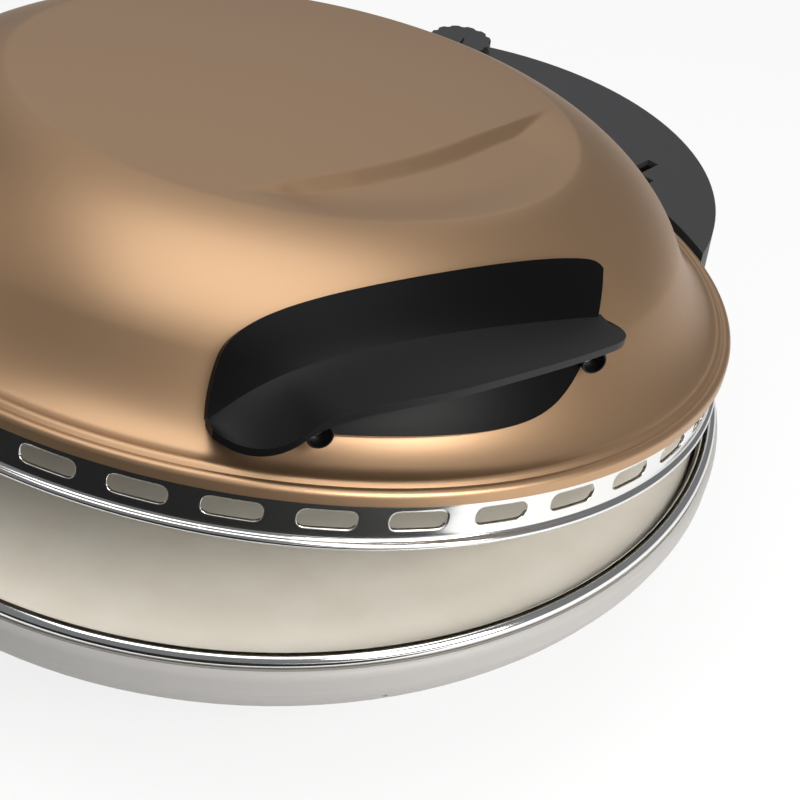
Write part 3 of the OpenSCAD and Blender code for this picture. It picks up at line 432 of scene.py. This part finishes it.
def ring_mesh():
    verts, faces, uvs, known = [], [], [], {}
    turn = round(2 * math.pi * 20000)

    def vert(az, z, r):
        """The number of the vertex at this place, which its neighbours share."""
        key = (round((az % (2 * math.pi)) * 20000) % turn, round(z * 500), round(r * 500))
        if key not in known:
            known[key] = len(verts)
            verts.append((r * math.cos(az), r * math.sin(az), z))
            uvs.append((az * RING_R / 1000, z / 1000))
        return known[key]

    border = cell_border()
    for k in range(SLOTS):
        mid = math.radians(SLOT_START) + CELL * k
        deg = math.degrees(mid) % 360
        left = mid - CELL / 2
        if abs(deg - HINGE_AZ) > BARE_HALF:
            loops = []
            for grow, deep in SLOT_LIP:
                r, o = RING_R - deep, slot_outline(grow)
                loops.append([vert(mid + a / RING_R, -SLOT_DROP + z, r) for a, z in o])
            loops.append([vert(left + CELL * a, z, RING_R) for a, z in border])
            inside = [loops[0], [vert(left + CELL * a, z, RING_R - RING_T) for a, z in border]]
            n = len(border)
            for a, b in zip(loops[:-1], loops[1:]):
                for i in range(n):
                    faces.append((a[i], b[i], b[(i + 1) % n], a[(i + 1) % n]))
            a, b = inside
            for i in range(n):
                faces.append((a[i], a[(i + 1) % n], b[(i + 1) % n], b[i]))
        else:
            for i in range(UPRIGHT):
                z0 = WALL_LOW + (WALL_HIGH - WALL_LOW) * i / UPRIGHT
                z1 = WALL_LOW + (WALL_HIGH - WALL_LOW) * (i + 1) / UPRIGHT
                for j in range(ACROSS):
                    a0, a1 = left + CELL * j / ACROSS, left + CELL * (j + 1) / ACROSS
                    for r, flip in ((RING_R, False), (RING_R - RING_T, True)):
                        q = (vert(a0, z0, r), vert(a1, z0, r), vert(a1, z1, r), vert(a0, z1, r))
                        faces.append(q[::-1] if flip else q)
    low = -RING_H
    below = [(RING_R, WALL_LOW), (RING_R, low + 3.6), (RING_R + 0.1, low + 3.1), (RING_R + 0.45, low + 2.7)]
    below += [tuple(p) for p in arc(RING_R + 0.55, low + 1.35, 1.2, 75, -60, 12)]
    below += [(RING_R + 0.7, low + 0.12), (RING_R + 0.2, low), (RING_R - 0.4, low + 0.1),
              (RING_R - 0.6, low + 0.6), (RING_R - 0.7, low + 1.6), (RING_R - RING_T, low + 3.0),
              (RING_R - RING_T, WALL_LOW)]
    above = [(RING_R - RING_T, WALL_HIGH), (RING_R - RING_T, 1.1), (RING_R - 9, 1.1), (RING_R - 9, 2.1),
             (RING_R - 0.5, 2.1), (RING_R, 1.6), (RING_R, WALL_HIGH)]
    columns = [math.radians(SLOT_START) - CELL / 2 + CELL / ACROSS * j for j in range(SLOTS * ACROSS)]
    for line in (below, above):
        for (r0, z0), (r1, z1) in zip(line[:-1], line[1:]):
            for j, a0 in enumerate(columns):
                a1 = columns[(j + 1) % len(columns)]
                faces.append((vert(a0, z0, r0), vert(a0, z1, r1), vert(a1, z1, r1), vert(a1, z0, r0)))
    return np.array(verts), faces, np.array(uvs)


v, f, uv = ring_mesh()
ring_shell = new_mesh("ring_shell", from_lid(v), f, uv, 50, "lid")
finish_piece(ring_shell, steel, "ring_steel", "vent_ring")

# Rim and stone

BEAD_SUNK = 1.1         # the bead's middle stands this far above the bowl's edge
cut = math.degrees(math.asin(BEAD_SUNK / BEAD_R))
bead = arc(BEAD_C, RIM_Z, BEAD_R, -cut, 180 + cut, 40)
rim_shell = lathe("rim_shell", bead, in_row, LID_TURNS, "base", 50)
finish_piece(rim_shell, chrome, "rim_steel", "base_rim")

stone_line = np.vstack([[[AXIS_R, STONE_LOW]], arc(STONE_R - 1.5, STONE_LOW + 1.5, 1.5, -90, 0, 4),
                        arc(STONE_R - 1.5, STONE_TOP - 1.5, 1.5, 0, 90, 6), [[AXIS_R, STONE_TOP]]])
stone_shell = lathe("stone_shell", stone_line, in_row, 360, "base", 60)
finish_piece(stone_shell, stone_mat, "stone", "baking_stone")

# Handle

PLATE_GAP = 0.6
PLATE_T = 3.4
dome_fine = dome_line(2)
dome_out = shifted(dome_fine, -(PLATE_GAP + PLATE_T))
dome_in = shifted(dome_fine, -PLATE_GAP)


def on_side(line):
    """The points of a dome outline between its rolled edge and its flat top."""
    return (line[:, 0] > DOME_TOP_R - 6) & (line[:, 1] > 7)


def radius_at(line, z):
    side = line[on_side(line)]
    order = np.argsort(side[:, 1])
    return np.interp(z, side[order, 1], side[order, 0])


def on_dome(line, side, z):
    r = radius_at(line, z)
    return handle_point(side, z, np.sqrt(np.maximum(r * r - side * side, 1)))


TIP = (-59.4, 14.7)     # handle's left end, sideways place and height
TIP_OUT = 140.6         # and its distance out
PLATE_END = (66.6, 44.4)
COLS = 180
PLATE_ROWS = 26
SHELF_ROWS = 18
SHELF_BITE = 0.8        # how far the shelf reaches into the plate
SHELF_T = 3.0
EDGE_ROUND = 0.0006     # rounded edges of the handle, in metres


def plate_top():
    turn = (-55.0, 29.7)
    return even_line([bezier(TIP, (-58.8, 19), (-57.2, 25), turn, 30, False),
                      bezier(turn, (-47.4, 45.9), (20.9, 54.1), (59.3, 47.3), 90),
                      bezier((59.3, 47.3), (62.6, 46.7), (65.4, 46), PLATE_END, 12)], COLS)


def plate_low():
    turn = (51.6, 26)
    return even_line([[TIP, (10, 15.2)], bezier((10, 15.2), (34, 15.4), (42.4, 16.8), turn, 40),
                      bezier(turn, (58, 32.4), (63, 39.5), PLATE_END, 40)], COLS)


def shelf_inner():
    """The shelf's line against the plate, as sideways place and height."""
    turn = (-20.5, 33.9)
    return even_line([bezier(TIP, (-50, 23.6), (-37, 29.8), turn, 50, False),
                      bezier(turn, (-3, 38.2), (28, 42), (62, 35.8), 70)], COLS)


def shelf_outer():
    """The shelf's free edge, as sideways place, distance out and height."""
    turn, far, corner = (-38.6, 155.6, 23), (6, 154.6, 35.6), (59, 133.4, 36)
    tip = (TIP[0], TIP_OUT, TIP[1])
    return even_line([bezier(tip, (-55, 146, 12.5), (-47, 154.4, 13.5), turn, 50, False),
                      bezier(turn, (-31, 156.6, 31), (-12, 159.6, 34.4), far, 50),
                      bezier(far, (22, 149.8, 36.6), (45, 140.4, 36), corner, 50),
                      bezier(corner, (66, 130, 36), (66, 125, 36), (62.7, 120.7, 36), 24)], COLS)


def side_loop(rows, cols):
    """The numbers of a grid's border points, in order."""
    loop = list(range(cols)) + [i * cols + cols - 1 for i in range(1, rows)]
    loop += [(rows - 1) * cols + j for j in range(cols - 2, -1, -1)]
    return loop + [i * cols for i in range(rows - 2, 0, -1)]


def slab(front, back, flip):
    """Closes two grids of points, the second behind the first, into one solid."""
    rows, cols = front.shape[:2]
    n = rows * cols
    faces = grid_faces(rows, cols, flip=flip)
    faces += [tuple(i + n for i in reversed(q)) for q in grid_faces(rows, cols, flip=flip)]
    loop = side_loop(rows, cols)
    for a, b in zip(loop, loop[1:] + loop[:1]):
        faces.append((a, b, b + n, a + n) if flip else (a, a + n, b + n, b))
    return from_lid(np.vstack([front.reshape(-1, 3), back.reshape(-1, 3)])), faces


def rounded(ob, width):
    """Rounds a piece's sharp edges."""
    bevel = ob.modifiers.new("round", "BEVEL")
    bevel.width = width
    bevel.segments = 3
    bevel.limit_method = "ANGLE"
    bevel.angle_limit = math.radians(50)


def behind(side, z):
    """The plate's back face, straight through the wall from a place on its front face."""
    seen = on_side(dome_out)
    order = np.argsort(dome_out[seen, 1])
    front_z, back = dome_out[seen, 1][order], dome_in[seen][order]
    r, back_z = np.interp(z, front_z, back[:, 0]), np.interp(z, front_z, back[:, 1])
    return handle_point(side, back_z, np.sqrt(np.maximum(r * r - side * side, 1)))


def handle_plate():
    t = np.linspace(0, 1, PLATE_ROWS)[:, None, None]
    g = plate_low()[None] * (1 - t) + plate_top()[None] * t
    side, z = g[..., 0], g[..., 1]
    v, f = slab(on_dome(dome_out, side, z), behind(side, z), False)
    ob = new_mesh("handle_plate", v, f, None, 35, "lid")
    rounded(ob, 0.0005)
    return finish_piece(ob, plate_shaded_mat, "handle_plastic", "handle")


def handle_shelf():
    """The finger shelf: from the plate out to its free edge, slightly hollow on top."""
    low = shelf_inner()
    inner_p = on_dome(shifted(dome_fine, SHELF_BITE - PLATE_GAP - PLATE_T), low[:, 0], low[:, 1])
    o = shelf_outer()
    outer_p = handle_point(o[:, 0], o[:, 2], o[:, 1])
    t = np.linspace(0, 1, SHELF_ROWS)[:, None, None]
    top = inner_p[None] * (1 - t) + outer_p[None] * t
    width = np.linalg.norm(outer_p - inner_p, axis=-1)
    sag = np.minimum(width * 0.05, 1.3)
    top[..., 2] -= (4 * t[..., 0] * (1 - t[..., 0])) * sag[None]
    thick = (SHELF_T - 0.6 * t[..., 0]) * np.minimum(1, 0.12 + width[None] / 6)
    low_face = top.copy()
    low_face[..., 2] -= thick
    v, f = slab(top, low_face, True)
    ob = new_mesh("handle_shelf", v, f, None, 35, "lid")
    rounded(ob, EDGE_ROUND)
    return finish_piece(ob, handle_mat, "handle_plastic")


handle_plate()
handle_shelf()

BOSSES = [(-32.7, 17.7, 150), (55, 28.3, 131)]


def boss(name, side, z, u):
    """A hollow boss for a handle screw."""
    segs = 40
    rings = [(3.9, -16), (3.9, -0.3), (3.6, 0), (3.3, 0), (3.2, -0.2), (3.2, -7.0), (AXIS_R, -7.0)]
    verts, faces = [], []
    for r, d in rings:
        for k in range(segs):
            a = 2 * math.pi * k / segs
            verts.append(handle_point(side + r * math.cos(a), z + r * math.sin(a), u + d))
    faces = grid_faces(len(rings), segs, close_cols=True)
    ob = new_mesh(name, from_lid(np.array(verts)), faces, None, 35, "lid")
    return finish_piece(ob, handle_mat, "handle_plastic")


for i, b in enumerate(BOSSES):
    boss(f"handle_boss_{i + 1}", *b)

# Floor, light and camera


def plane(name, corners, mat):
    me = bpy.data.meshes.new(name)
    me.from_pydata([tuple(c) for c in corners], [], [tuple(range(len(corners)))])
    ob = bpy.data.objects.new(name, me)
    bpy.context.scene.collection.objects.link(ob)
    me.materials.append(mat)
    return ob


def plain_floor():
    """White to the camera with a light shadow, and an ordinary matt floor to all else."""
    m = material("floor_white", (0.88, 0.88, 0.88), 0.6, 0.0, 0.2)
    glow = add(m, "ShaderNodeEmission", Color=(1, 1, 1, 1), Strength=1.0)
    path = add(m, "ShaderNodeLightPath")
    co = add(m, "ShaderNodeTexCoord")
    far = add(m, "ShaderNodeVectorMath", operation="LENGTH")
    white = add(m, "ShaderNodeMapRange")
    for field, value in (("From Min", 0.5), ("From Max", 1.3), ("To Min", 0.8), ("To Max", 1.0)):
        white.inputs[field].default_value = value
    part = add(m, "ShaderNodeMath", operation="MULTIPLY")
    wire(m, co.outputs["Object"], far.inputs[0])
    wire(m, far.outputs["Value"], white.inputs["Value"])
    wire(m, white.outputs["Result"], part.inputs[1])
    mix = add(m, "ShaderNodeMixShader")
    wire(m, path.outputs["Is Camera Ray"], part.inputs[0])
    wire(m, part.outputs[0], mix.inputs[0])
    wire(m, shader(m).outputs[0], mix.inputs[1])
    wire(m, glow.outputs[0], mix.inputs[2])
    wire(m, mix.outputs[0], m.node_tree.nodes["Material Output"].inputs["Surface"])
    return m


def on_floor(x, y, z=0.0):
    """A place measured from under the stone's middle, in metres."""
    return (x, y + STONE_PLACE[1] / 1000, z)


card_mat = material("card_black", (0.01, 0.01, 0.01), 0.7, 0.0, 0.1)
plane("floor", [(-3, -3, 0), (3, -3, 0), (3, 3, 0), (-3, 3, 0)], plain_floor())
CARD = [(0.20, -0.10), (0.36, -0.05), (1.4, -1.6), (-1.2, -1.8), (-0.42, -0.42), (0.0, -0.30)]
card = plane("card", [on_floor(x, y, 0.002) for x, y in CARD], card_mat)
card.visible_camera = False     # only the polished ring sees it
card.visible_diffuse = False
card.visible_shadow = False


def area(name, place, target, size, power, color=(1, 1, 1)):
    li = bpy.data.lights.new(name, "AREA")
    li.shape = "SQUARE"
    li.size = size
    li.energy = power
    li.color = color
    ob = bpy.data.objects.new(name, li)
    ob.location = place
    d = Vector(target) - Vector(place)
    ob.rotation_euler = d.to_track_quat("-Z", "Y").to_euler()
    bpy.context.scene.collection.objects.link(ob)
    return ob


area("overhead", on_floor(0.1, -0.1, 1.5), (0, 0, 0), 1.3, 12)
area("behind", on_floor(-1.1, 1.1, 1.2), (0, 0, 0.1), 1.7, 3.5, (0.97, 0.98, 1.0))
area("left", on_floor(-1.3, -1.0, 1.0), (0, 0, 0.05), 1.6, 2.2, (1.0, 0.95, 0.92))
area("right", on_floor(1.0, -0.12, 0.62), (0.08, -0.08, 0.07), 0.6, 12, (1.0, 0.98, 0.95))

world = bpy.data.worlds.new("studio")
bpy.context.scene.world = world
world.use_nodes = True
nt = world.node_tree
nt.nodes.clear()
path = nt.nodes.new("ShaderNodeLightPath")
seen = nt.nodes.new("ShaderNodeBackground")
seen.inputs["Color"].default_value = (1, 1, 1, 1)
seen.inputs["Strength"].default_value = 1.0
lit = nt.nodes.new("ShaderNodeBackground")
lit.inputs["Color"].default_value = (0.95, 0.97, 1, 1)
lit.inputs["Strength"].default_value = 0.2
mix = nt.nodes.new("ShaderNodeMixShader")
wout = nt.nodes.new("ShaderNodeOutputWorld")
nt.links.new(path.outputs["Is Camera Ray"], mix.inputs[0])
nt.links.new(lit.outputs[0], mix.inputs[1])
nt.links.new(seen.outputs[0], mix.inputs[2])
nt.links.new(mix.outputs[0], wout.inputs["Surface"])

cam = bpy.data.cameras.new("camera")
cam.sensor_width = 36
cam.lens = 79.74        # solved from the photo, like its place and turn
cam.clip_start = 0.01
cam_ob = bpy.data.objects.new("camera", cam)
right = Vector((0.7244, 0.6824, 0.0977))
up = Vector((-0.4611, 0.3743, 0.8046))
back = -Vector((-0.5125, 0.6279, -0.5858))
m = Matrix((right, up, back)).transposed().to_4x4()
m.translation = Vector(on_floor(0.3673, -0.3694, 0.4298))
cam_ob.matrix_world = m
bpy.context.scene.collection.objects.link(cam_ob)
bpy.context.scene.camera = cam_ob
bpy.context.scene.view_settings.view_transform = "Standard"
